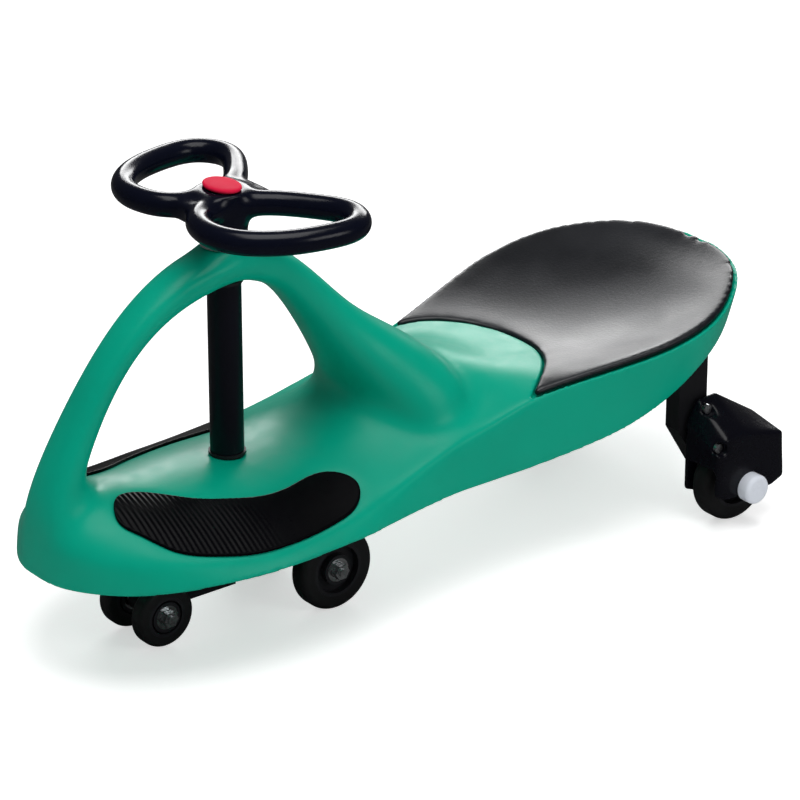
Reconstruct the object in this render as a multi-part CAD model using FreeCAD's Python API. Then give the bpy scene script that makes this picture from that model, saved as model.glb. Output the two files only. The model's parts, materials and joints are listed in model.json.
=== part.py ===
import FreeCAD, Part
import math
import os

# A child's swing car: a ride-on that is driven by swinging its steering wheel from side to side.
# Frame: +X forward, +Y to the rider's left, +Z up. Millimetres. The ground is z = 0, and the origin
# is on the ground below the middle of the length and width. The x values below are measured from a
# cross-section near the middle; every finished piece is moved back by MIDDLE_X to that origin.

V = FreeCAD.Vector

# --- body -------------------------------------------------------------------------------------
WALL = 3.5                    # wall of the moulded body shell
RIM_DROP = 30.0               # the cavity runs this far below the rim, so that the shell is open
HULL_HALF = 385.0             # half-length that an inset is measured against
MIDDLE_X = 4.0                # the middle of the overall length, in the x values below

# Stations of the hull, from the tail to the nose. Each is
# (x, rim half-width, rim z, shoulder half-width, shoulder z, crown z, bell),
# where bell 1 makes the top a plain dome or dish and bell 2 makes it a ridge with hollow flanks.
STATIONS = [
    (-373, 16, 208, 22, 226, 224, 1),
    (-365, 42, 202, 52, 226, 219, 1),
    (-347, 72, 190, 84, 223, 211, 1),
    (-318, 98, 175, 112, 218, 202, 1),
    (-278, 117, 158, 134, 209, 188, 1),
    (-232, 122, 135, 140, 199, 177, 1),
    (-180, 118, 115, 131, 189, 171, 1),
    (-130, 113, 106, 117, 179, 173, 1),
    (-90, 110, 102, 107, 170, 179, 1.4),
    (-40, 108, 100, 104, 157, 197, 2),
    (10, 109, 100, 105, 146, 198, 2),
    (60, 115, 99, 110, 132, 172, 1.6),
    (110, 124, 98, 117, 119, 153, 1),
    (160, 128, 97, 120, 113, 150, 1),
    (215, 127, 95, 118, 111, 152, 1),
    (265, 118, 94, 109, 112, 155, 1),
    (310, 101, 92, 93, 116, 160, 1),
    (345, 76, 91, 70, 120, 158, 1),
    (368, 48, 91, 43, 123, 152, 1),
    (381, 12, 92, 10, 122, 134, 1),
]

# --- hoop that carries the head of the steering column ----------------------------------------
# Rings of the hoop: (x, z, lean of the ring in degrees, half-width, half-thickness). The lean is
# the direction of travel along the hoop, measured from +X towards +Z.
FRONT_LEG = [
    (360, 118, 97, 34, 20),
    (356, 165, 108, 26, 17),
    (337, 207, 121, 22, 15),
    (292, 272, 134, 20, 13),
    (236, 314, 150, 23, 15),
    (178, 329, 180, 27, 15),
]
REAR_LEG = [
    (178, 329, 180, 27, 15),
    (124, 311, 214, 26, 17),
    (86, 271, 234, 30, 20),
    (58, 236, 226, 40, 26),
    (22, 196, 228, 66, 38),
    (0, 164, 236, 84, 48),
]

# --- steering ---------------------------------------------------------------------------------
STEER_X = 178.0               # the upright steering axis crosses the ground here
RUNNING = 0.06                # radial clearance of every running fit
TOUCH = 0.02                  # gap between pieces that are clamped together
SHAFT_R = 8.0
SHAFT_FOOT_Z = 46.0
SHAFT_SHOULDER_Z = 368.0
STUD_R = 5.0
STUD_TOP_Z = 386.0
SLEEVE_R = 15.0
SLEEVE_Z = (154.0, 311.5)
BUSH_R = 13.0
BUSH_FLANGE_R = 17.0
BUSH_FLANGE = 2.5
LOWER_BUSH_Z = (122.0, 151.0)
UPPER_BUSH_Z = (314.5, 345.0)
HEAD_TOP_Z = 346.0
HEAD_BOSS_R = 22.0

GRIP_Z = 384.0                # height of the middle of the two grips
GRIP_R = 11.5
# centre line of the left grip, measured from the steering axis
GRIP_LOOP = [(52, 50), (44, 84), (18, 107), (-20, 119), (-55, 116), (-69, 93), (-55, 57), (-26, 24),
             (8, 12), (38, 20)]
HUB_R = 24.0
HUB_BASE_Z = 349.0
HUB_TOP_Z = 397.0
NUT_POCKET_R = 13.0
NUT_SEAT_Z = 372.0
CAP_HALF = (21.0, 15.0)       # half-axes of the oval cap on the hub

# --- wheels: (x, |y| of the middle plane, centre z, tyre radius, width) -------------------------
MAIN = (105.5, 53.0, 38.5, 38.5, 20.0)
SAFETY = (268.0, 24.5, 30.5, 28.5, 16.0)
REAR = (-296.0, 134.0, 39.5, 39.5, 22.0)
AXLE_R = 4.0
MAIN_AXLE_HALF = 72.0
SAFETY_AXLE_HALF = 41.0
BEARING_R = 11.0
BEARING_W = 7.0
NUT_H = 6.5
SPACER_R = 6.5
SIDE_PLAY = 0.3               # free play beside a spacer or a nut
BEARING_GROOVE = (6.5, 9.0, 0.5)   # radii and depth of the groove in a bearing's face
NUT_AF = 13.0                 # across the flats of the axle nuts

# --- rear strut and wheel housing ---------------------------------------------------------------
STRUT_X = (-284.0, -250.0)
STRUT_Y = (94.0, 111.9)
STRUT_PLATE_Z = (157.0, 161.0)
PLATE_X = (-288.0, -212.0)
PLATE_Y = (66.0, 106.0)
STRUT_SCREWS = [(-280.0, 71.0), (-280.0, 88.0), (-220.0, 74.0), (-220.0, 96.0)]
STRUT_SCREW_BITE = 7.0
HOUSING_Y = (112.0, 160.0)
HOUSING_WALL = 5.0
BODY_SCREW_R = 2.5
SCREW_HEAD_R = 4.5
SCREW_HEAD_H = 2.5
BOSS_R = 7.0

# --- seat and foot pads -------------------------------------------------------------------------
SEAT_EDGE = 4.5               # width of the body's lip around the seat
SEAT_SUNK = 6.0
SEAT_PROUD = 2.0
SEAT_BED_EDGE = 7.0           # the bed below the pad stays this far inside the shoulder
SEAT_HORN_X = -89.0
SEAT_NOTCH_X = -153.0         # the hump's tongue runs this far back into the seat
FOOT_PAD_SUNK = 1.5
FOOT_PAD_PROUD = 2.0
SEAT_SCREWS = [(-180.0, 75.0), (-318.0, 40.0)]
SEAT_BOSS = 9.0               # the bosses for the seat screws reach this far below the pad
SEAT_SCREW_BITE = 5.0
PIN_R = 3.0                   # cross pins that key the shaft to the carrier and to the wheel
PIN_Z = 82.0
KEY_PIN_Z = 359.0
SOCKET_R = 16.0
SOCKET_TOP_Z = 100.0
BARREL_R = 11.0
BARREL_HALF = (40.0, 14.0)    # half-lengths of the main and the safety axle barrels
CORE_SHARE = 0.66             # radius of a wheel's core as a share of the tyre's
# bolts that hold a housing to its strut: (x, z, y of the seat under the head)
HOUSING_BOLTS = [(-272.0, 112.0, 124.0), (-263.0, 84.0, 150.0)]
HOUSING_BOLT_R = 2.5
CAP_R = 14.0
CAP_H = 13.0
RIB = 2.5
RIB_FOOT_Z = 130.0


def solid(shape):
    """The single solid inside a boolean's result."""
    return shape.Solids[0] if len(shape.Solids) == 1 else shape


def mirrored(shape):
    """The same piece on the other side of the car."""
    return shape.mirror(V(0, 0, 0), V(0, 1, 0))


def rod(radius, length, base, axis=V(0, 0, 1)):
    return Part.makeCylinder(radius, length, base, axis)


def tube(outer, inner, length, base, axis=V(0, 0, 1)):
    return rod(outer, length, base, axis).cut(rod(inner, length, base, axis))


def box(x, y, z):
    """A box from three (low, high) pairs."""
    return Part.makeBox(x[1] - x[0], y[1] - y[0], z[1] - z[0], V(x[0], y[0], z[0]))


def hexagon(across_flats, height, base, axis=V(0, 0, 1)):
    """A hexagonal prism whose base is centred on the axis."""
    corner = across_flats / math.sqrt(3)
    ring = [V(corner * math.cos(math.radians(60 * i)), corner * math.sin(math.radians(60 * i)), 0)
            for i in range(7)]
    prism = Part.Face(Part.makePolygon(ring)).extrude(V(0, 0, height))
    prism.Placement = FreeCAD.Placement(base, FreeCAD.Rotation(V(0, 0, 1), axis))
    return prism


def spline(points, closed=False):
    curve = Part.BSplineCurve()
    curve.interpolate(Points=[V(*p) for p in points], PeriodicFlag=closed)
    return curve.toShape()


# --- body shell -----------------------------------------------------------------------------------
def top_z(station, t):
    """Height of the hull's top at a fraction t of the shoulder half-width."""
    shoulder_z, crown_z, bell = station[4:]
    return shoulder_z + (crown_z - shoulder_z) * (1 - t * t) ** bell


def hull(inset=0.0, drop=0.0):
    """The hull as a closed solid, shrunk by an inset and run on below its rim by a drop."""
    wires = []
    shrink = 1 - inset / HULL_HALF
    for station in STATIONS:
        x, rim_y, rim_z, shoulder_y, shoulder_z = station[:5]
        x *= shrink
        slope = (shoulder_y - rim_y) / (shoulder_z - rim_z)
        floor_y = max(rim_y - inset - slope * drop, 2.0)
        width = max(shoulder_y - inset, 1.5)
        top = [(x, width * t, top_z(station, abs(t)) - inset) for t in
               (1, 0.8, 0.55, 0.27, 0, -0.27, -0.55, -0.8, -1)]
        floor = [V(x, -floor_y, rim_z - drop), V(x, floor_y, rim_z - drop)]
        wires.append(Part.Wire([
            Part.makeLine(floor[0], floor[1]),
            Part.makeLine(floor[1], V(*top[0])),
            spline(top),
            Part.makeLine(V(*top[-1]), floor[0]),
        ]))
    return Part.makeLoft(wires, True, False)


def ring(x, z, lean, half_width, half_thickness, inset=0.0):
    """One oval cross-section of the hoop."""
    lean = math.radians(lean)
    normal = V(-math.sin(lean), 0, math.cos(lean))
    a = half_width - inset
    b = half_thickness - inset
    count = 12
    points = []
    for i in range(count):
        angle = 2 * math.pi * i / count
        across = a * math.copysign(abs(math.cos(angle)) ** 0.8, math.cos(angle))
        out = b * math.copysign(abs(math.sin(angle)) ** 0.8, math.sin(angle))
        point = V(x, across, z) + normal * out
        points.append((point.x, point.y, point.z))
    return Part.Wire([spline(points, closed=True)])


def leg(rings, inset=0.0):
    return Part.makeLoft([ring(*r, inset=inset) for r in rings], True, False)


def layer(half_widths, above, below):
    """A closed layer that follows the hull's top from `below` under it to `above` over it.

    half_widths maps a station to its (left, right) limits, as fractions of the shoulder half-width.
    """
    wires = []
    for station in STATIONS:
        limits = half_widths(station)
        if limits is None:
            continue
        low, high = limits
        fractions = [low + (high - low) * i / 8 for i in range(9)]
        upper = [(station[0], station[3] * t, top_z(station, abs(t)) + above) for t in fractions]
        lower = [(x, y, z - above - below) for x, y, z in reversed(upper)]
        wires.append(Part.Wire([
            spline(upper),
            Part.makeLine(V(*upper[-1]), V(*lower[0])),
            spline(lower),
            Part.makeLine(V(*lower[-1]), V(*upper[0])),
        ]))
    return Part.makeLoft(wires, True, False)


def behind_horn(x):
    return x < SEAT_HORN_X + 60


def bed_limits(station):
    """The bed that carries the seat pad stays inside the body's side walls."""
    x, shoulder_y = station[0], station[3]
    inner = 1 - SEAT_BED_EDGE / shoulder_y
    return (-inner, inner) if behind_horn(x) else None


def seat_plan():
    """The pad's outline from above: the shoulder moved in by the lip, round the tail."""
    shrink = 1 - SEAT_EDGE / HULL_HALF
    side = [(s[0] * shrink, s[3] - SEAT_EDGE, 0) for s in STATIONS[1:] if behind_horn(s[0])]
    tail = (STATIONS[0][0] * shrink, 0, 0)
    edge = side[::-1] + [tail] + [(x, -y, 0) for x, y, z in side]
    wire = Part.Wire([spline(edge), Part.makeLine(V(*edge[-1]), V(*edge[0]))])
    return Part.Face(wire).extrude(V(0, 0, 400))


def seat_screw_places():
    """Seat screws on both sides: (x, y, height of the pad's underside there)."""
    places = []
    for x, y in SEAT_SCREWS:
        near = max(s for s in STATIONS if s[0] <= x)
        far = min(s for s in STATIONS if s[0] > x)
        share = (x - near[0]) / (far[0] - near[0])
        heights = [top_z(s, y / s[3]) for s in (near, far)]
        under = heights[0] + share * (heights[1] - heights[0]) - SEAT_SUNK
        places += [(x, y, under), (x, -y, under)]
    return places


def tongue(x_reach):
    """The hump's tongue: the plan area that the seat's deep front notch leaves free."""
    depth = SEAT_HORN_X - SEAT_NOTCH_X
    half = 101 - SEAT_EDGE
    edge = [(SEAT_NOTCH_X + depth * f ** 2.2, half * f) for f in (1.3, 1, 0.8, 0.6, 0.3, 0)]
    edge += [(x, -y) for x, y in reversed(edge[:-1])]
    front = [V(*edge[-1], 0), V(x_reach, edge[-1][1], 0), V(x_reach, edge[0][1], 0), V(*edge[0], 0)]
    wire = Part.Wire([spline([(x, y, 0) for x, y in edge]), Part.makePolygon(front)])
    return Part.Face(wire).extrude(V(0, 0, 400))


def seat_pad():
    """The dished seat pad, sunk into the body, with its front notch and its screw holes."""
    band = layer(lambda s: (-0.999, 0.999) if behind_horn(s[0]) else None, SEAT_PROUD, SEAT_SUNK)
    pad = band.common(seat_plan()).cut(tongue(60.0))
    holes = [rod(BODY_SCREW_R, SEAT_SCREW_BITE + 12, V(x, y, z - 12)) for x, y, z in seat_screw_places()]
    return solid(pad.cut(holes))


def foot_pad():
    """The left foot pad: a thin bean-shaped plate that follows the sloping platform."""
    band = layer(lambda s: (0.1, 0.99) if 50 < s[0] < 350 else None, FOOT_PAD_PROUD, FOOT_PAD_SUNK)
    points = [(325, 42), (307, 26), (280, 33), (251, 50), (221, 62), (189, 70), (160, 69), (134, 66),
              (115, 73), (105, 91), (116, 107), (142, 115), (189, 118), (232, 114), (264, 104),
              (296, 88), (318, 64)]
    outline = Part.Face(Part.Wire([spline([(x, y, 0) for x, y in points], closed=True)]))
    return solid(band.common(outline.extrude(V(0, 0, 300))))


def body_ribs():
    """Ribs, the steering boss and the screw bosses inside the shell, trimmed to the hull."""
    ribs = [box((-330, 130), (y - RIB / 2, y + RIB / 2), (RIB_FOOT_Z, 260)) for y in (-48, 48)]
    ribs += [box((x - RIB / 2, x + RIB / 2), (-140, 140), (RIB_FOOT_Z, 260)) for x in (-200, -100, 20)]
    ribs.append(rod(BUSH_R + 5, 60, V(STEER_X, 0, LOWER_BUSH_Z[0] - 4)))
    for angle in range(30, 390, 60):
        rib = box((STEER_X + BUSH_R, STEER_X + 110), (-RIB / 2, RIB / 2), (118, 200))
        ribs.append(rib.rotate(V(STEER_X, 0, 0), V(0, 0, 1), angle))
    for x, y in STRUT_SCREWS:
        for side in (-1, 1):
            ribs.append(rod(BOSS_R, 90, V(x, side * y, STRUT_PLATE_Z[1])))
    for x, y, z in seat_screw_places():
        ribs.append(rod(BOSS_R, 20, V(x, y, z - SEAT_BOSS)))
    outer = hull(inset=WALL / 2)
    return [rib.common(outer) for rib in ribs]


def hoop(cavity):
    """The hoop over the platform, with the head that holds the upper bush."""
    head = rod(HEAD_BOSS_R, HEAD_TOP_Z - 317, V(STEER_X, 0, 317))
    legs = leg(FRONT_LEG).fuse(leg(REAR_LEG)).fuse(head)
    return legs.cut(cavity)


def body_shell():
    """The moulded body: one open-bottomed shell with its hoop."""
    cavity = hull(inset=WALL, drop=RIM_DROP)
    seat_bed = layer(bed_limits, -1.0, SEAT_SUNK + WALL)
    shell = hull().cut(cavity).multiFuse([seat_bed, hoop(cavity)] + body_ribs())
    holes = [
        seat_pad(),
        foot_pad(),
        mirrored(foot_pad()),
        rod(BUSH_R, 400, V(STEER_X, 0, 60)),
        rod(BUSH_FLANGE_R, 130, V(STEER_X, 0, LOWER_BUSH_Z[1])),
        rod(BUSH_FLANGE_R, 60, V(STEER_X, 0, UPPER_BUSH_Z[0] - 60)),
    ]
    for x, y in STRUT_SCREWS:
        for side in (-1, 1):
            holes.append(rod(BODY_SCREW_R, STRUT_SCREW_BITE + 1, V(x, side * y, STRUT_PLATE_Z[1])))
    for x, y, z in seat_screw_places():
        holes.append(rod(BODY_SCREW_R, 30, V(x, y, z - 20)))
    return solid(shell.cut(holes))


# --- steering -------------------------------------------------------------------------------------
def flanged_bush(z, flange_up):
    """A nylon bush with a flange at one end, bored for the steering shaft."""
    base = V(STEER_X, 0, z[0])
    bush = rod(BUSH_R, z[1] - z[0], base)
    flange_z = z[1] if flange_up else z[0] - BUSH_FLANGE
    bush = bush.fuse(rod(BUSH_FLANGE_R - 0.5, BUSH_FLANGE, V(STEER_X, 0, flange_z)))
    bore = rod(SHAFT_R + RUNNING, 80, V(STEER_X, 0, z[0] - 20))
    return solid(bush.cut(bore))


def steering_shaft():
    shaft = rod(SHAFT_R, SHAFT_SHOULDER_Z - SHAFT_FOOT_Z, V(STEER_X, 0, SHAFT_FOOT_Z))
    shaft = shaft.fuse(rod(STUD_R, STUD_TOP_Z - SHAFT_SHOULDER_Z, V(STEER_X, 0, SHAFT_SHOULDER_Z)))
    for z in (PIN_Z, KEY_PIN_Z):
        shaft = shaft.cut(rod(PIN_R, 60, V(STEER_X, -30, z), V(0, 1, 0)))
    return solid(shaft)


def column_sleeve():
    length = SLEEVE_Z[1] - SLEEVE_Z[0]
    return tube(SLEEVE_R, SHAFT_R + TOUCH, length, V(STEER_X, 0, SLEEVE_Z[0]))


def thrust_washer():
    """Slides on the head of the hoop and carries the steering wheel's hub."""
    return tube(20.0, SHAFT_R + TOUCH, 2.4, V(STEER_X, 0, HEAD_TOP_Z + 0.3))


def grip_loop():
    """The left grip: a round tube on an egg-shaped loop, broad at its outer rear corner."""
    loop = spline([(STEER_X + x, y, GRIP_Z) for x, y in GRIP_LOOP], closed=True)
    first, last = loop.ParameterRange
    count = 28
    rings = []
    for i in range(count + 1):
        place = first + (last - first) * (i % count) / count
        circle = Part.Circle(loop.valueAt(place), loop.tangentAt(place), GRIP_R)
        rings.append(Part.Wire([circle.toShape()]))
    halves = [Part.makeLoft(rings[:count // 2 + 1], True, False),
              Part.makeLoft(rings[count // 2:], True, False)]
    return halves[0].fuse(halves[1])


def steering_wheel():
    """A butterfly wheel: a saddle-shaped hub between two closed grips."""
    axis = V(STEER_X, 0, 0)
    hub = Part.makeCone(HUB_R - 3, HUB_R, HUB_TOP_Z - HUB_BASE_Z, V(STEER_X, 0, HUB_BASE_Z))
    bridge = box((STEER_X - 40, STEER_X + 42), (-18, 18), (GRIP_Z - 10, GRIP_Z + 8))
    bridge = bridge.makeFillet(4, bridge.Edges)
    left = grip_loop()
    wheel = hub.fuse(bridge).fuse(left).fuse(mirrored(left))
    for r, low, high in ((SHAFT_R + TOUCH, 300, SHAFT_SHOULDER_Z), (STUD_R + TOUCH, 300, 420),
                         (NUT_POCKET_R, NUT_SEAT_Z, 420)):
        wheel = wheel.cut(rod(r, high - low, axis + V(0, 0, low)))
    wheel = wheel.cut(rod(PIN_R, 60, V(STEER_X, -30, KEY_PIN_Z), V(0, 1, 0)))
    wheel = wheel.cut(rod(PIN_R + 2, 60, V(STEER_X, 18, KEY_PIN_Z), V(0, 1, 0)))
    wheel = wheel.cut(rod(PIN_R + 2, 60, V(STEER_X, -78, KEY_PIN_Z), V(0, 1, 0)))
    return solid(wheel)


def oval(half_x, half_y, height, z):
    face = Part.Face(Part.Wire([Part.Ellipse(V(STEER_X, 0, z), max(half_x, half_y),
                                             min(half_x, half_y)).toShape()]))
    if half_y > half_x:
        face.rotate(V(STEER_X, 0, z), V(0, 0, 1), 90)
    return face.extrude(V(0, 0, height))


def hub_cap():
    """The domed oval cap that hides the wheel's nut, with a round spigot in the nut's pocket."""
    top = oval(CAP_HALF[1], CAP_HALF[0], 4.0, HUB_TOP_Z + TOUCH)
    upper = [e for e in top.Edges if e.BoundBox.ZMin > HUB_TOP_Z + 3]
    top = top.makeFillet(2.5, upper)
    spigot = tube(NUT_POCKET_R - TOUCH, NUT_POCKET_R - 2, 8.0, V(STEER_X, 0, HUB_TOP_Z - 8 + TOUCH))
    return solid(top.fuse(spigot))


def wheel_nut():
    """Lock nut and washer that clamp the steering wheel down on the shaft."""
    washer = tube(11.0, STUD_R + TOUCH, 1.8, V(STEER_X, 0, NUT_SEAT_Z))
    nut = hexagon(17.0, 8.0, V(STEER_X, 0, NUT_SEAT_Z + 1.8 + TOUCH))
    nut = nut.cut(rod(STUD_R + TOUCH, 30, V(STEER_X, 0, NUT_SEAT_Z)))
    return Part.makeCompound([washer, nut])


def cross_pin(z, length):
    return rod(PIN_R - TOUCH, length, V(STEER_X, -length / 2, z), V(0, 1, 0))


def wheel_carrier():
    """The swinging wheel carrier: a socket for the shaft, a rear and a front axle barrel."""
    main_x, safety_x = MAIN[0], SAFETY[0]
    socket = rod(SOCKET_R, SOCKET_TOP_Z - 34, V(STEER_X, 0, 34))
    arm = box((main_x, STEER_X), (-15, 15), (32, 58))
    rear_barrel = rod(BARREL_R, 2 * BARREL_HALF[0], V(main_x, -BARREL_HALF[0], MAIN[2]), V(0, 1, 0))
    front_arm = box((STEER_X, safety_x), (-9, 9), (26, 46))
    front_barrel = rod(9.0, 2 * BARREL_HALF[1], V(safety_x, -BARREL_HALF[1], SAFETY[2]), V(0, 1, 0))
    web = box((main_x, STEER_X + 50), (-3, 3), (40, 78))
    body = socket.multiFuse([arm, rear_barrel, front_arm, front_barrel, web])
    for x, z in ((main_x, MAIN[2]), (safety_x, SAFETY[2])):
        body = body.cut(rod(AXLE_R + TOUCH, 120, V(x, -60, z), V(0, 1, 0)))
    body = body.cut(rod(SHAFT_R + TOUCH, 100, V(STEER_X, 0, SHAFT_FOOT_Z)))
    body = body.cut(rod(PIN_R, 60, V(STEER_X, -30, PIN_Z), V(0, 1, 0)))
    return solid(body)


# --- wheels: every wheel is a tyre on a core, with a ball bearing at each side ---------------------
def wheel_tyre(place):
    x, y, z, radius, width = place
    tyre = rod(radius, width, V(x, y - width / 2, z), V(0, 1, 0))
    tyre = tyre.makeFillet(width * 0.28, [e for e in tyre.Edges if e.Length > 2 * radius * 3])
    return tyre.cut(rod(radius * CORE_SHARE, width, V(x, y - width / 2, z), V(0, 1, 0)))


def wheel_core(place):
    """The nylon core: rim, dished web and hub with two bearing seats."""
    x, y, z, radius, width = place
    base = V(x, y - width / 2, z)
    side = V(0, 1, 0)
    rim_r = radius * CORE_SHARE - TOUCH
    core = rod(rim_r, width, base, side)
    dish = (width - 6) / 2
    for start in (0, width - dish):
        core = core.cut(tube(rim_r - 3, BEARING_R + 3, dish, base + V(0, start, 0), side))
        seat = 0 if start == 0 else width - BEARING_W
        core = core.cut(rod(BEARING_R + TOUCH, BEARING_W, base + V(0, seat, 0), side))
    return solid(core.cut(rod(BEARING_R - 2, width, base, side)))


def wheel_bearings(place):
    x, y, z, _, width = place
    inner, outer, depth = BEARING_GROOVE
    rings = []
    for start in (0, width - BEARING_W):
        ring_base = V(x, y - width / 2 + start + TOUCH / 2, z)
        bearing = tube(BEARING_R, AXLE_R + RUNNING, BEARING_W - TOUCH, ring_base, V(0, 1, 0))
        for face in (0, BEARING_W - TOUCH - depth):
            bearing = bearing.cut(tube(outer, inner, depth, ring_base + V(0, face, 0), V(0, 1, 0)))
        rings.append(bearing)
    return Part.makeCompound(rings)


def axle(place, half_length):
    x, z = place[0], place[2]
    return rod(AXLE_R, 2 * half_length, V(x, -half_length, z), V(0, 1, 0))


def axle_hardware(place, barrel_half):
    """Spacers beside the barrel and lock nuts outside the wheels, on both ends of an axle."""
    x, y, z, _, width = place
    inner = y - width / 2
    outer = y + width / 2
    pieces = []
    for side in (-1, 1):
        direction = V(0, side, 0)
        pieces.append(tube(SPACER_R, AXLE_R + TOUCH, inner - barrel_half - SIDE_PLAY,
                           V(x, side * (barrel_half + 0.05), z), direction))
        nut = hexagon(NUT_AF, NUT_H, V(x, side * (outer + SIDE_PLAY), z), direction)
        pieces.append(nut.cut(rod(AXLE_R + TOUCH, 20, V(x, side * outer, z), direction)))
    return Part.makeCompound(pieces)


# --- rear strut, wheel housing and axle -------------------------------------------------------------
def rear_strut():
    """The left strut: a plate under the body and a leg that carries the wheel housing."""
    plate = box(PLATE_X, PLATE_Y, STRUT_PLATE_Z)
    axle_x, axle_z = REAR[0], REAR[2]
    back, front = STRUT_X
    top = STRUT_PLATE_Z[0] + 2
    profile = [(back, top), (front, top), (front, axle_z + 51), (axle_x + 18, axle_z + 6),
               (axle_x + 10, axle_z - 12), (axle_x - 10, axle_z - 12), (axle_x - 17, axle_z + 6),
               (back - 16, axle_z + 58), (back, axle_z + 78), (back, top)]
    face = Part.Face(Part.makePolygon([V(x, STRUT_Y[0], z) for x, z in profile]))
    strut = plate.fuse(face.extrude(V(0, STRUT_Y[1] - STRUT_Y[0], 0)))
    holes = [rod(BODY_SCREW_R, 20, V(x, y, 145)) for x, y in STRUT_SCREWS]
    holes += [rod(HOUSING_BOLT_R, 60, V(x, 80, z), V(0, 1, 0)) for x, z, y in HOUSING_BOLTS]
    holes.append(rod(AXLE_R + TOUCH, 60, V(axle_x, 80, axle_z), V(0, 1, 0)))
    return solid(strut.cut(holes))


def wheel_housing():
    """The left housing: two cheeks joined over the wheel by a hood that slopes down outwards."""
    x, y, z, radius, width = REAR
    low, high = HOUSING_Y
    inner = [(x + 40, z - 8), (x + 40, z + 62), (x + 28, z + 83), (x + 6, z + 84), (x - 44, z + 50),
             (x - 46, z - 4), (x - 30, z - 14), (x + 24, z - 14)]
    outer = [(x + 40, z - 2), (x + 40, z + 40), (x + 28, z + 54), (x + 4, z + 54), (x - 42, z + 44),
             (x - 45, z - 2), (x - 30, z - 8), (x + 24, z - 8)]
    wires = []
    for depth, ring_points in ((low, inner), (high, outer)):
        corners = [V(px, depth, pz) for px, pz in ring_points]
        wires.append(Part.makePolygon(corners + corners[:1]))
    block = Part.makeLoft(wires, True, True)
    block = block.makeFillet(4, block.Edges)
    block = block.cut(box((x - 60, x + 60), (low - 10, low + 2), (0, 200)))
    cheeks = (low + HOUSING_WALL + 2, high - HOUSING_WALL)
    well = rod(radius + 4, cheeks[1] - cheeks[0], V(x, cheeks[0], z), V(0, 1, 0))
    mouth = box((x - radius - 4, x + radius + 4), cheeks, (0, z))
    holes = [well, mouth, rod(AXLE_R + TOUCH, 80, V(x, 100, z), V(0, 1, 0))]
    for bolt_x, bolt_z, head_y in HOUSING_BOLTS:
        holes.append(rod(HOUSING_BOLT_R, 80, V(bolt_x, 100, bolt_z), V(0, 1, 0)))
        holes.append(rod(5.5, 60, V(bolt_x, head_y, bolt_z), V(0, 1, 0)))
    return solid(block.cut(holes))


def housing_bolts():
    """Two bolts from the outer side, through the left housing and its strut, with inner nuts."""
    pieces = []
    side = V(0, 1, 0)
    for x, z, head_y in HOUSING_BOLTS:
        start = STRUT_Y[0] - 6
        shank = rod(HOUSING_BOLT_R - TOUCH, head_y - start, V(x, start, z), side)
        pieces.append(solid(shank.fuse(rod(SCREW_HEAD_R, 3.2, V(x, head_y + TOUCH, z), side))))
        nut = hexagon(8.0, 4.0, V(x, STRUT_Y[0] - 4 - TOUCH, z), side)
        pieces.append(nut.cut(rod(HOUSING_BOLT_R, 20, V(x, start - 2, z), side)))
    return Part.makeCompound(pieces)


def rear_axle():
    """The left rear axle bolt, with its head on the strut's inner side."""
    x, y, z = REAR[:3]
    start = STRUT_Y[0] - TOUCH
    shank = rod(AXLE_R, HOUSING_Y[1] + 9 - start, V(x, start, z), V(0, 1, 0))
    head = hexagon(NUT_AF, 5.3, V(x, start - 5.3, z), V(0, 1, 0))
    return solid(shank.fuse(head))


def rear_hardware():
    """Spacers inside the left housing and the lock nut outside it."""
    x, y, z, _, width = REAR
    inner, outer = HOUSING_Y[0] + HOUSING_WALL + 2, HOUSING_Y[1] - HOUSING_WALL
    side = V(0, 1, 0)
    pieces = [
        tube(SPACER_R, AXLE_R + TOUCH, y - width / 2 - inner - SIDE_PLAY,
             V(x, inner + 0.05, z), side),
        tube(SPACER_R, AXLE_R + TOUCH, outer - y - width / 2 - SIDE_PLAY,
             V(x, y + width / 2 + SIDE_PLAY - 0.05, z), side),
    ]
    nut = hexagon(NUT_AF, NUT_H, V(x, HOUSING_Y[1] + TOUCH, z), side)
    pieces.append(nut.cut(rod(AXLE_R + TOUCH, 20, V(x, HOUSING_Y[1] - 2, z), side)))
    return Part.makeCompound(pieces)


def axle_cap():
    """The white push-on cap over the left rear axle nut."""
    x, y, z = REAR[:3]
    base = V(x, HOUSING_Y[1] + 2 * TOUCH, z)
    cap = rod(CAP_R, CAP_H, base, V(0, 1, 0))
    far = [e for e in cap.Edges if e.BoundBox.YMin > base.y + CAP_H - 0.5]
    cap = cap.makeFillet(4.0, far)
    return cap.cut(rod(8.2, CAP_H - 2.5, base, V(0, 1, 0)))


def body_screws():
    """Screws up through the strut plates into the body's bosses, on both sides."""
    pieces = []
    for x, y in STRUT_SCREWS:
        for side in (-1, 1):
            head = rod(SCREW_HEAD_R, SCREW_HEAD_H,
                       V(x, side * y, STRUT_PLATE_Z[0] - SCREW_HEAD_H - TOUCH))
            plate = STRUT_PLATE_Z[1] - STRUT_PLATE_Z[0]
            shank = rod(BODY_SCREW_R - TOUCH, plate + STRUT_SCREW_BITE,
                        V(x, side * y, STRUT_PLATE_Z[0] - TOUCH))
            pieces.append(solid(head.fuse(shank)))
    return Part.makeCompound(pieces)


def seat_screws():
    """Screws up through the bosses of the seat bed into the pad, on both sides."""
    pieces = []
    for x, y, z in seat_screw_places():
        foot = z - SEAT_BOSS - TOUCH
        head = rod(SCREW_HEAD_R, SCREW_HEAD_H, V(x, y, foot - SCREW_HEAD_H))
        shank = rod(BODY_SCREW_R - TOUCH, SEAT_BOSS + SEAT_SCREW_BITE - 1, V(x, y, foot))
        pieces.append(solid(head.fuse(shank)))
    return Part.makeCompound(pieces)


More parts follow.
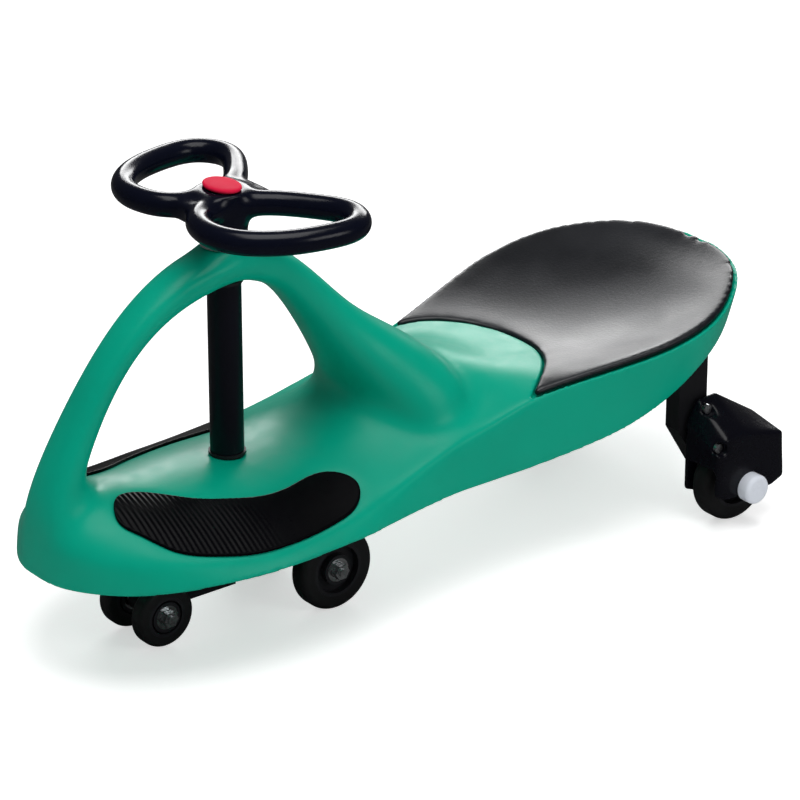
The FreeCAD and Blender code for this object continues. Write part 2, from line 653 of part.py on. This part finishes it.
SINGLE = {
    "body_shell": body_shell,
    "seat_pad": seat_pad,
    "seat_screws": seat_screws,
    "lower_bush": lambda: flanged_bush(LOWER_BUSH_Z, True),
    "upper_bush": lambda: flanged_bush(UPPER_BUSH_Z, False),
    "body_screws": body_screws,
    "steering_wheel": steering_wheel,
    "hub_cap": hub_cap,
    "wheel_nut": wheel_nut,
    "thrust_washer": thrust_washer,
    "steering_shaft": steering_shaft,
    "column_sleeve": column_sleeve,
    "wheel_pin": lambda: cross_pin(KEY_PIN_Z, 34.0),
    "carrier_pin": lambda: cross_pin(PIN_Z, 36.0),
    "wheel_carrier": wheel_carrier,
    "main_axle": lambda: axle(MAIN, MAIN_AXLE_HALF),
    "main_hardware": lambda: axle_hardware(MAIN, BARREL_HALF[0]),
    "safety_axle": lambda: axle(SAFETY, SAFETY_AXLE_HALF),
    "safety_hardware": lambda: axle_hardware(SAFETY, BARREL_HALF[1]),
}
PAIRED = {
    "foot_pad": foot_pad,
    "rear_strut": rear_strut,
    "wheel_housing": wheel_housing,
    "housing_bolts": housing_bolts,
    "rear_axle": rear_axle,
    "rear_hardware": rear_hardware,
    "axle_cap": axle_cap,
    "main_tyre": lambda: wheel_tyre(MAIN),
    "main_core": lambda: wheel_core(MAIN),
    "main_bearings": lambda: wheel_bearings(MAIN),
    "safety_tyre": lambda: wheel_tyre(SAFETY),
    "safety_core": lambda: wheel_core(SAFETY),
    "safety_bearings": lambda: wheel_bearings(SAFETY),
    "rear_tyre": lambda: wheel_tyre(REAR),
    "rear_core": lambda: wheel_core(REAR),
    "rear_bearings": lambda: wheel_bearings(REAR),
}



def placed(shape):
    """The finished piece in the car's frame, with the origin below the middle of the length."""
    return shape.translated(V(-MIDDLE_X, 0, 0))


os.makedirs("parts", exist_ok=True)
for node, make in SINGLE.items():
    placed(make()).exportStep(f"parts/{node}.step")
for node, make in PAIRED.items():
    left = placed(make())
    left.exportStep(f"parts/{node}_left.step")
    mirrored(left).exportStep(f"parts/{node}_right.step")
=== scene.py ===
import json
import math

import bpy
import numpy as np
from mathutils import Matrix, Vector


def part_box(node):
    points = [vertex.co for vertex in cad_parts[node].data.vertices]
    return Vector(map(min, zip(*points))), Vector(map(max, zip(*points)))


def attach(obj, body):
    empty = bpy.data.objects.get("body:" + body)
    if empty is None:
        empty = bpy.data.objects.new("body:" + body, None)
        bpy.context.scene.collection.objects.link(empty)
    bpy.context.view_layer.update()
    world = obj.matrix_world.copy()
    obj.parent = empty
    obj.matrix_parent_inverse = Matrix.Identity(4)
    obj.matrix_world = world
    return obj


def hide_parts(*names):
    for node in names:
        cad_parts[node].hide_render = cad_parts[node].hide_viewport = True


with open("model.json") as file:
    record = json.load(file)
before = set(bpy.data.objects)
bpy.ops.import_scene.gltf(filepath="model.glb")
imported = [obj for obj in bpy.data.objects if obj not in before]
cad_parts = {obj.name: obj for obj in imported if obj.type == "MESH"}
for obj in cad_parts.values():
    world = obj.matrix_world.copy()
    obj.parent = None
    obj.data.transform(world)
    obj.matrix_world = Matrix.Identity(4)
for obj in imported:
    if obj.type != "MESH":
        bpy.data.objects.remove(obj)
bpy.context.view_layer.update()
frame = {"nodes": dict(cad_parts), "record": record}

import openvdb as vdb
from mathutils import Vector

# A child's swing car. Metres in Blender; the distance fields below work in millimetres.
MM = 1000.0

# camera
CAMERA_AZIMUTH = 51.94        # degrees from +X towards +Y
CAMERA_ELEVATION = 23.99
CAMERA_DISTANCE = 3.499
CAMERA_LENS = 175.2
CAMERA_SENSOR = 36.0
CAMERA_TARGET = Vector((-0.0170, 0.0, 0.1478))

# light
FLOOR_HALF = 12.0
FLOOR_PALENESS = 0.9
FLOOR_GLOW = 0.55             # lifts the floor towards white for the camera only
FLOOR_MIRRORED = 0.12         # its paleness in reflections, where a studio has dark flags
SKY = 0.24                    # strength of the even light from all around
SKY_MIRRORED = 0.05           # and in reflections

# rounding and blending of the moulded pieces, in millimetres
BAND = 3                      # voxels on either side of a surface that its field covers
BODY_VOXEL = 1.7
BODY_MARGIN = 12              # empty voxels round the body's block
WALL = 3.6                    # thickness to which the blended body is hollowed
BODY_BLEND = 20.0             # fillet where the hoop grows out of the platform
BODY_ROUND = 3.0              # rounding of the body's outer edges
BORE_REACH = 19.0             # the CAD's own bores are kept within this distance of the column
PAD_PROUD = 2.0               # the pads stand this far above the body in the CAD
SEAT_GAP = 0.9                # dark groove round the seat pad
FOOT_GAP = 0.7                # and round the foot pads
PAD_BACKING = 5.5             # the body reaches at least this far from the pads, groove included
LIP_LIFT = 6.5                # the lip is cut by the seat pad lifted this far
LIP_REACH = 5.5               # and grown by this much,
LIP_FROM_X = -200.0           # only behind here, and fully from LIP_FADE further back
LIP_FADE = 90.0
SKIRT_DROP = 12.0             # the body is closed off this far below its rim while it is blended
PLUG_HEIGHT = 12.0            # the column's bore is closed this far above the lower bush's foot
SEALED_SHARE = 0.1            # a sealed body fills at least this share of its block
RIB_PITCH = 4.8               # fine ribs across the front of the foot pads
RIB_HEIGHT = 0.75
RIB_START_X = 195.0           # the ribs begin here and reach their full height RIB_FADE further on
RIB_FADE = 45.0
RIB_BORDER = 0.5              # they fade out this far inside the pad's edge

# smoothing
RIPPLE_ROUNDS = 3             # rounds of blur on the blended body's field, before it is hollowed
EVEN_ROUNDS = 60              # rounds of evening on a finished mesh
BEND_ROUNDS = 6               # how far round a corner its bend is judged
BEND_LIMIT = 0.03             # a bend that counts as an edge, which stays as it is

sleeve_low, sleeve_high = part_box("column_sleeve")
STEER_X = sleeve_low.x * MM / 2 + sleeve_high.x * MM / 2


# --- distance fields -----------------------------------------------------------------------------
def node_mesh(*names):
    """Corners in millimetres and triangles of CAD nodes, joined."""
    points, faces, base = [], [], 0
    for name in names:
        mesh = frame["nodes"][name].data
        corners = np.empty(len(mesh.vertices) * 3, np.float32)
        mesh.vertices.foreach_get("co", corners)
        mesh.calc_loop_triangles()
        triangles = np.empty(len(mesh.loop_triangles) * 3, np.int32)
        mesh.loop_triangles.foreach_get("vertices", triangles)
        points.append(corners.reshape(-1, 3) * MM)
        faces.append(triangles.reshape(-1, 3) + base)
        base += len(mesh.vertices)
    return np.vstack(points), np.vstack(faces)


def joined(*meshes):
    """Several meshes as one."""
    points, faces, base = [], [], 0
    for some_points, some_faces in meshes:
        points.append(some_points)
        faces.append(some_faces + base)
        base += len(some_points)
    return np.vstack(points), np.vstack(faces)


def level_set(mesh, voxel, reach):
    """The signed distance to a mesh, negative inside, out to a reach."""
    return vdb.FloatGrid.createLevelSetFromPolygons(
        points=np.ascontiguousarray(mesh[0], np.float32),
        triangles=np.ascontiguousarray(mesh[1], np.uint32),
        transform=vdb.createLinearTransform(voxel),
        halfWidth=reach / voxel,
    )


def contour(grid, level=0.0):
    """The surface at a level as corners and quads."""
    points, _, quads = grid.convertToPolygons(isovalue=level)
    return points, quads.astype(np.int64)


def halved(quads):
    """Two triangles for every quad."""
    return np.vstack([quads[:, [0, 1, 2]], quads[:, [0, 2, 3]]])


def moved(mesh, voxel, distance):
    """The surface moved outwards by a distance, or inwards if it is negative."""
    points, quads = contour(level_set(mesh, voxel, abs(distance) + BAND * voxel), distance)
    return points, halved(quads)


def blended(mesh, voxel, radius):
    """Fills the inner corners with fillets."""
    return moved(moved(mesh, voxel, radius), voxel, -radius)


def rounded(mesh, voxel, radius):
    """Rounds the outer edges."""
    return moved(moved(mesh, voxel, -radius), voxel, radius)


class Block:
    """A dense block of samples round a mesh, so that fields can be compared point by point."""

    def __init__(self, points, voxel, margin=5):
        self.voxel = voxel
        self.low = np.floor(points.min(0) / voxel).astype(int) - margin
        self.shape = np.ceil(points.max(0) / voxel).astype(int) + margin - self.low

    def corner(self):
        """The lowest sample's index."""
        return tuple(int(i) for i in self.low)

    def field(self, mesh, beyond=0.0):
        """A mesh's distance field; beyond is how far from the surface it has to be right."""
        values = np.empty(self.shape, np.float32)
        grid = level_set(mesh, self.voxel, beyond + BAND * self.voxel)
        grid.copyToArray(values, ijk=self.corner())
        return values

    def places(self, axis):
        """The samples' places along one axis, shaped to combine with a field."""
        count = self.shape[axis]
        line = (np.arange(count) + self.low[axis]) * self.voxel
        return line.reshape([-1 if i == axis else 1 for i in range(3)])

    def surface(self, values):
        """A field's zero surface as corners and quads."""
        grid = vdb.FloatGrid(float(BAND * self.voxel))
        grid.copyFromArray(np.ascontiguousarray(values, np.float32), ijk=self.corner())
        grid.transform = vdb.createLinearTransform(self.voxel)
        return contour(grid)


def softened(values, rounds=1):
    """A light blur of a field, which weakens the voxel ripple of its surface."""
    for _ in range(rounds):
        for axis in range(3):
            values = (np.roll(values, 1, axis) + 2 * values + np.roll(values, -1, axis)) / 4
    return values


def evened(points, quads):
    """Evens out the faint ripple on the large faces; edges and grooves keep their shape."""
    sides = np.vstack([quads[:, [i, (i + 1) % 4]] for i in range(4)])
    here, there = np.concatenate([sides, sides[:, ::-1]]).T
    count = np.maximum(np.bincount(here, minlength=len(points)), 1)[:, None]

    def spread(values, rounds, share=1.0):
        """Moves every corner's values towards those of its neighbours."""
        for _ in range(rounds):
            around = [np.bincount(here, column[there], len(points)) for column in values.T]
            values = values + share * (np.stack(around, 1) / count - values) / 2
        return values

    a, b, c, d = (points[quads[:, i]] for i in range(4))
    facing = np.cross(c - a, d - b)
    normals = np.stack([np.bincount(quads.ravel(), np.repeat(column, 4), len(points))
                        for column in facing.T], 1)
    normals /= np.maximum(np.linalg.norm(normals, axis=1, keepdims=True), 1e-9)
    bend = 1 - np.linalg.norm(spread(normals, BEND_ROUNDS), axis=1, keepdims=True)
    flat = spread(np.clip(1 - bend / BEND_LIMIT, 0, 1), BEND_ROUNDS)
    return spread(points.astype(float), EVEN_ROUNDS, flat)


# --- objects -------------------------------------------------------------------------------------
def mesh_object(name, points, quads, body, material, slot, *nodes):
    """A smooth mesh piece that rides on a body and stands for CAD nodes."""
    a, b, c = (points[quads[:, i]] for i in (0, 1, 2))
    inside_out = np.einsum("ij,ij->i", a, np.cross(b, c)).sum() < 0
    if inside_out:
        quads = quads[:, ::-1]
    mesh = bpy.data.meshes.new(name)
    mesh.from_pydata((points / MM).tolist(), [], quads.tolist())
    mesh.polygons.foreach_set("use_smooth", np.ones(len(quads), bool))
    mesh.materials.append(material)
    piece = bpy.data.objects.new(name, mesh)
    bpy.context.collection.objects.link(piece)
    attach(piece, body)
    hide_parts(*nodes)


# --- materials -----------------------------------------------------------------------------------
class Shader:
    """A node material with a Principled shader; every call adds one node and returns its output."""

    def __init__(self, name, **values):
        self.material = bpy.data.materials.new(name)
        self.material.use_nodes = True
        self.tree = self.material.node_tree
        self.main = self.tree.nodes["Principled BSDF"]
        self.place = self.tree.nodes.new("ShaderNodeTexCoord").outputs["Object"]
        for key, value in values.items():
            self.main.inputs[key.replace("_", " ")].default_value = value

    def join(self, node, key, value):
        if isinstance(value, bpy.types.NodeSocket):
            self.tree.links.new(value, node.inputs[key])
        else:
            node.inputs[key].default_value = value

    def noise(self, scale, detail=3.0, roughness=0.5, place=None):
        node = self.tree.nodes.new("ShaderNodeTexNoise")
        self.join(node, "Vector", place or self.place)
        for key, value in (("Scale", scale), ("Detail", detail), ("Roughness", roughness)):
            self.join(node, key, value)
        return node.outputs["Fac"]

    def cells(self, scale):
        """Distance to the nearest of scattered points, for a pebbled grain."""
        node = self.tree.nodes.new("ShaderNodeTexVoronoi")
        node.feature = "SMOOTH_F1"
        self.join(node, "Vector", self.place)
        self.join(node, "Scale", scale)
        return node.outputs["Distance"]

    def ramp(self, value, low, high, first, last):
        node = self.tree.nodes.new("ShaderNodeMapRange")
        for key, entry in (("Value", value), ("From Min", low), ("From Max", high),
                           ("To Min", first), ("To Max", last)):
            self.join(node, key, entry)
        return node.outputs["Result"]

    def mix(self, share, first, second):
        node = self.tree.nodes.new("ShaderNodeMix")
        node.data_type = "RGBA"
        self.join(node, "Factor", share)
        sockets = [s for s in node.inputs if s.type == "RGBA"]
        for socket, colour in zip(sockets, (first, second)):
            if isinstance(colour, bpy.types.NodeSocket):
                self.tree.links.new(colour, socket)
            else:
                socket.default_value = colour
        return next(s for s in node.outputs if s.type == "RGBA")

    def bump(self, height, distance, strength=1.0, below=None):
        node = self.tree.nodes.new("ShaderNodeBump")
        self.join(node, "Height", height)
        self.join(node, "Distance", distance)
        self.join(node, "Strength", strength)
        if below is not None:
            self.join(node, "Normal", below)
        return node.outputs["Normal"]

    def finish(self, **links):
        for key, value in links.items():
            self.join(self.main, key.replace("_", " "), value)
        return self.material


def moulded(name, colour, roughness, grain=0.00004, grain_scale=900.0, coat=0.0, tint=0.12,
            shine=0.25):
    """Moulded plastic: faint clouds in the colour, uneven gloss, fine grain and light scuffs."""
    s = Shader(name, Coat_Weight=coat, Coat_Roughness=0.12, Specular_IOR_Level=shine)
    clouds = s.noise(scale=9.0, detail=4.0)
    scuffs = s.noise(scale=60.0, detail=8.0, roughness=0.7)
    dark = tuple(c * (1 - tint) for c in colour) + (1,)
    light = tuple(min(c * (1 + tint), 1) for c in colour) + (1,)
    tone = s.mix(s.ramp(clouds, 0.35, 0.65, 0.0, 1.0), dark, light)
    gloss = s.ramp(scuffs, 0.35, 0.75, roughness * 0.85, roughness * 1.25)
    wave = s.bump(clouds, distance=0.0004)
    normal = s.bump(s.noise(grain_scale, detail=2.0), distance=grain, below=wave)
    return s.finish(Base_Color=tone, Roughness=gloss, Normal=normal)


def grained(name, colour, roughness):
    """The seat pad's soft skin with a fine leather grain."""
    s = Shader(name, Specular_IOR_Level=0.5)
    clouds = s.noise(scale=14.0, detail=5.0)
    pebbles = s.cells(scale=420.0)
    pores = s.noise(scale=1500.0, detail=2.0)
    light = tuple(c * 1.5 + 0.001 for c in colour) + (1,)
    tone = s.mix(s.ramp(clouds, 0.35, 0.7, 0.0, 1.0), colour + (1,), light)
    gloss = s.ramp(clouds, 0.3, 0.7, roughness * 0.85, roughness * 1.2)
    fine = s.bump(pores, distance=0.00005)
    normal = s.bump(pebbles, distance=0.00014, strength=0.6, below=fine)
    return s.finish(Base_Color=tone, Roughness=gloss, Normal=normal)


def metal(name, colour, roughness):
    """Plated or ground steel with fine marks along Y and darker patches."""
    s = Shader(name, Metallic=1.0)
    mapping = s.tree.nodes.new("ShaderNodeMapping")
    s.join(mapping, "Vector", s.place)
    mapping.inputs["Scale"].default_value = (900.0, 60.0, 900.0)
    marks = s.noise(scale=1.0, detail=4.0, place=mapping.outputs["Vector"])
    patches = s.noise(scale=120.0, detail=4.0)
    dark = tuple(c * 0.6 for c in colour) + (1,)
    tone = s.mix(s.ramp(patches, 0.35, 0.6, 0.0, 1.0), dark, colour + (1,))
    gloss = s.ramp(marks, 0.3, 0.7, roughness * 0.7, roughness * 1.4)
    return s.finish(Base_Color=tone, Roughness=gloss, Normal=s.bump(marks, distance=0.00003))


MATERIALS = {
    "body_green": moulded("green_body", (0.0, 0.40, 0.26), 0.33, tint=0.05, shine=0.15),
    "seat_black": grained("black_seat", (0.004, 0.005, 0.008), 0.36),
    "pad_black": moulded("black_pad", (0.002, 0.002, 0.003), 0.32, grain_scale=500.0, tint=0.3,
                         shine=0.05),
    "zinc_steel": metal("zinc_steel", (0.62, 0.63, 0.65), 0.3),
    "bearing_steel": metal("bearing_steel", (0.75, 0.76, 0.78), 0.18),
    "nylon": moulded("black_nylon", (0.014, 0.014, 0.017), 0.45),
    "wheel_gloss_black": moulded("black_wheel", (0.003, 0.004, 0.011), 0.2, shine=0.22),
    "cap_red": moulded("red_cap", (0.70, 0.014, 0.055), 0.4, shine=0.008),
    "sleeve_black": moulded("black_sleeve", (0.004, 0.004, 0.009), 0.34, shine=0.2),
    "frame_black": moulded("black_powder_coat", (0.010, 0.010, 0.012), 0.38, grain=0.00012,
                           grain_scale=1400.0, shine=0.2),
    "housing_black": moulded("black_housing", (0.003, 0.003, 0.006), 0.26, shine=0.2),
    "cap_white": moulded("white_cap", (0.80, 0.84, 0.92), 0.3, coat=0.2, tint=0.04),
    "tyre_black": moulded("black_tyre", (0.010, 0.010, 0.011), 0.45, grain=0.00010),
    "core_black": moulded("black_core", (0.014, 0.014, 0.017), 0.4),
}


def dress_cad_nodes():
    """Gives every CAD node its own material slot's procedural finish."""
    slots = {entry["node"]: entry["material_slot"] for entry in frame["record"]["subparts"]}
    for name, piece in frame["nodes"].items():
        for material_slot in piece.material_slots:
            material_slot.link = "OBJECT"
            material_slot.material = MATERIALS[slots[name]]


# --- body ----------------------------------------------------------------------------------------
def section(mesh, x):
    """Points where the edges of a mesh cross the plane at x."""
    points, faces = mesh
    first, second = points[faces], points[np.roll(faces, -1, 1)]
    crossing = (first[..., 0] < x) != (second[..., 0] < x)
    first, second = first[crossing], second[crossing]
    share = (x - first[:, :1]) / (second[:, :1] - first[:, :1])
    return first + share * (second - first)


def rim_profile(mesh, rows=110, inset=1.0, tolerance=0.5):
    """The shell's rim as rows of x, half-width and height, cut through its lower edge."""
    profile = []
    for x in np.linspace(mesh[0][:, 0].min() + inset, mesh[0][:, 0].max() - inset, rows):
        cut = section(mesh, x)
        rim_z = cut[:, 2].min()
        profile.append((x, np.abs(cut[cut[:, 2] < rim_z + tolerance, 1]).max(), rim_z))
    return np.array(profile)


def skirt(profile, lap=2.0, inset=0.4):
    """A trough that hangs from inside the rim and seals the shell's open underside."""
    corners = []
    for x, half, z in profile:
        y = half - inset
        top, bottom = z + lap, z - SKIRT_DROP
        corners += [(x, -y, top), (x, -y, bottom), (x, y, bottom), (x, y, top)]
    first = np.arange(len(profile) - 1)[:, None] * 4
    faces = [first + offsets for side in range(3)
             for offsets in ((side, side + 1, side + 4), (side + 1, side + 5, side + 4))]
    ends = [np.array([(e, e + 1, e + 2), (e, e + 2, e + 3)]) for e in (0, 4 * len(profile) - 4)]
    return np.array(corners), np.vstack(faces + ends)


def plug(z, radius=15.0, count=24):
    """A disc that closes the column's bore."""
    turn = np.arange(count) * 2 * math.pi / count
    ring = np.stack([STEER_X + radius * np.cos(turn), radius * np.sin(turn), np.full(count, z)], 1)
    corners = np.vstack([ring, [(STEER_X, 0, z)]])
    first = np.arange(count)
    return corners, np.stack([first, (first + 1) % count, np.full(count, count)], 1)


def lip_cut(block):
    """Field that lowers the body's lip round the tail, where it is too thin to stand up."""
    points, faces = node_mesh("seat_pad")
    above = block.field((points + (0, 0, LIP_LIFT), faces), LIP_REACH)
    share = np.clip((LIP_FROM_X - block.places(0)) / LIP_FADE, 0, 1)
    return np.where(share > 0, share * LIP_REACH - above, -LIP_REACH)


def body_shell():
    """The moulded body: the CAD shell with blended hoop roots, rounded edges and pad grooves."""
    shell = node_mesh("body_shell")
    seat = node_mesh("seat_pad")
    feet = node_mesh("foot_pad_left", "foot_pad_right")
    pads = joined(seat, feet)

    # the shell sealed into one solid and blended, with the pads lowered to the body's own level
    rim = rim_profile(shell)
    flush = (pads[0] - (0, 0, PAD_PROUD), pads[1])
    bore = plug(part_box("lower_bush")[0].z * MM + PLUG_HEIGHT)
    closed = joined(shell, flush, skirt(rim), bore)
    outer = rounded(blended(closed, BODY_VOXEL, BODY_BLEND), BODY_VOXEL, BODY_ROUND)
    block = Block(shell[0], BODY_VOXEL, BODY_MARGIN)
    whole = softened(block.field(outer, WALL), RIPPLE_ROUNDS)

    # hollowed inside the sealed volume, but for WALL, the CAD's own walls and the pads' backing
    thin = block.field(shell)
    inside = block.field(closed) < 0
    if inside.mean() < SEALED_SHARE:
        raise RuntimeError("the body's underside isn't sealed, so it can't be hollowed")
    backing = block.field(pads, PAD_BACKING) - PAD_BACKING
    wall = np.minimum(np.minimum(thin, -(whole + WALL)), backing)
    values = np.where(inside, np.maximum(whole, wall), whole)
    distance = np.hypot(block.places(0) - STEER_X, block.places(1))
    values = np.where(distance < BORE_REACH, np.maximum(whole, thin), values)

    # open below the rim, with pockets for the pads and the lip lowered round the tail
    below_rim = np.interp(block.places(0), rim[:, 0], rim[:, 2]) - block.places(2)
    cuts = below_rim, FOOT_GAP - block.field(feet), SEAT_GAP - block.field(seat), lip_cut(block)
    for cut in cuts:
        values = np.maximum(values, cut)
    points, quads = block.surface(softened(values))
    mesh_object("body", evened(points, quads), quads, "body", MATERIALS["body_green"],
                "body_green", "body_shell")


def pad_ribs(block, values):
    """Relief of the foot pads: fine ribs across the front part, inside a plain border."""
    x = block.places(0)
    start = np.clip((x - RIB_START_X) / RIB_FADE, 0, 1)
    border = np.clip(-values.min(2, keepdims=True) - RIB_BORDER, 0, 1)
    return start * border * RIB_HEIGHT * (0.5 - 0.5 * np.cos(2 * math.pi * x / RIB_PITCH))


def moulded_piece(name, node, body, slot, voxel, blend=0.0, edge=0.0, relief=None):
    """A CAD node with blended inner corners and rounded outer edges, less an optional relief."""
    mesh = node_mesh(node)
    block = Block(mesh[0], voxel)
    if blend:
        mesh = blended(mesh, voxel, blend)
    if edge:
        mesh = rounded(mesh, voxel, edge)
    values = softened(block.field(mesh))
    if relief:
        values = values + relief(block, values)
    points, quads = block.surface(values)
    if not relief:
        points = evened(points, quads)
    mesh_object(name, points, quads, body, MATERIALS[slot], slot, node)


# --- stage ---------------------------------------------------------------------------------------
def area_light(name, place, aim, size, power):
    light = bpy.data.lights.new(name, "AREA")
    light.shape = "RECTANGLE"
    light.size, light.size_y = size
    light.energy = power
    lamp = bpy.data.objects.new(name, light)
    lamp.location = place
    lamp.rotation_euler = (Vector(aim) - Vector(place)).to_track_quat("-Z", "Y").to_euler()
    bpy.context.collection.objects.link(lamp)


def stage():
    """Pale floor, soft studio light and the camera."""
    mesh = bpy.data.meshes.new("floor")
    corners = [(x * FLOOR_HALF, y * FLOOR_HALF, 0) for x, y in ((-1, -1), (1, -1), (1, 1), (-1, 1))]
    mesh.from_pydata(corners, [], [(0, 1, 2, 3)])
    floor = bpy.data.objects.new("floor", mesh)
    paint = Shader("pale_floor", Roughness=0.9, Specular_IOR_Level=0.0,
                   Emission_Color=(1, 1, 1, 1))
    rays = paint.tree.nodes.new("ShaderNodeLightPath").outputs
    pale = paint.mix(rays["Is Glossy Ray"], (FLOOR_PALENESS,) * 3 + (1,),
                     (FLOOR_MIRRORED,) * 3 + (1,))
    glow = paint.ramp(rays["Is Camera Ray"], 0, 1, 0.0, FLOOR_GLOW)
    mesh.materials.append(paint.finish(Base_Color=pale, Emission_Strength=glow))
    bpy.context.collection.objects.link(floor)

    area_light("overhead", (0.2, 0.3, 2.6), aim=(0, 0, 0.1), size=(1.8, 1.8), power=40)
    area_light("side", (-0.9, 3.2, 1.5), aim=(0, 0, 0.15), size=(1.6, 1.1), power=18)
    area_light("back", (-2.6, -2.8, 1.55), aim=(0, 0, 0.25), size=(2.8, 0.9), power=70)
    world = bpy.data.worlds.new("studio")
    bpy.context.scene.world = world
    world.use_nodes = True
    sky = world.node_tree.nodes["Background"].inputs
    sky["Color"].default_value = (1, 1, 1, 1)
    mirrored = world.node_tree.nodes.new("ShaderNodeLightPath").outputs["Is Glossy Ray"]
    share = world.node_tree.nodes.new("ShaderNodeMapRange")
    share.inputs["To Min"].default_value = SKY
    share.inputs["To Max"].default_value = SKY_MIRRORED
    world.node_tree.links.new(mirrored, share.inputs["Value"])
    world.node_tree.links.new(share.outputs["Result"], sky["Strength"])

    azimuth, elevation = math.radians(CAMERA_AZIMUTH), math.radians(CAMERA_ELEVATION)
    towards_camera = Vector((math.cos(azimuth) * math.cos(elevation),
                             math.sin(azimuth) * math.cos(elevation), math.sin(elevation)))
    camera = bpy.data.objects.new("camera", bpy.data.cameras.new("camera"))
    camera.data.lens = CAMERA_LENS
    camera.data.sensor_width = CAMERA_SENSOR
    camera.location = CAMERA_TARGET + towards_camera * CAMERA_DISTANCE
    camera.rotation_euler = (-towards_camera).to_track_quat("-Z", "Y").to_euler()
    bpy.context.collection.objects.link(camera)
    bpy.context.scene.camera = camera
    bpy.context.scene.view_settings.view_transform = "Standard"


dress_cad_nodes()
body_shell()
moulded_piece("seat_pad_moulding", "seat_pad", "body", "seat_black",
              voxel=1.6, blend=14.0, edge=3.0)
moulded_piece("butterfly_wheel", "steering_wheel", "steering", "wheel_gloss_black",
              voxel=1.2, blend=8.0, edge=2.0)
for side in ("left", "right"):
    moulded_piece(f"wheel_hood_{side}", f"wheel_housing_{side}", "body", "housing_black",
                  voxel=1.0, edge=1.2)
    moulded_piece(f"ribbed_pad_{side}", f"foot_pad_{side}", "body", "pad_black",
                  voxel=0.7, relief=pad_ribs)
moulded_piece("hub_button", "hub_cap", "steering", "cap_red", voxel=0.6, edge=1.5)
stage()
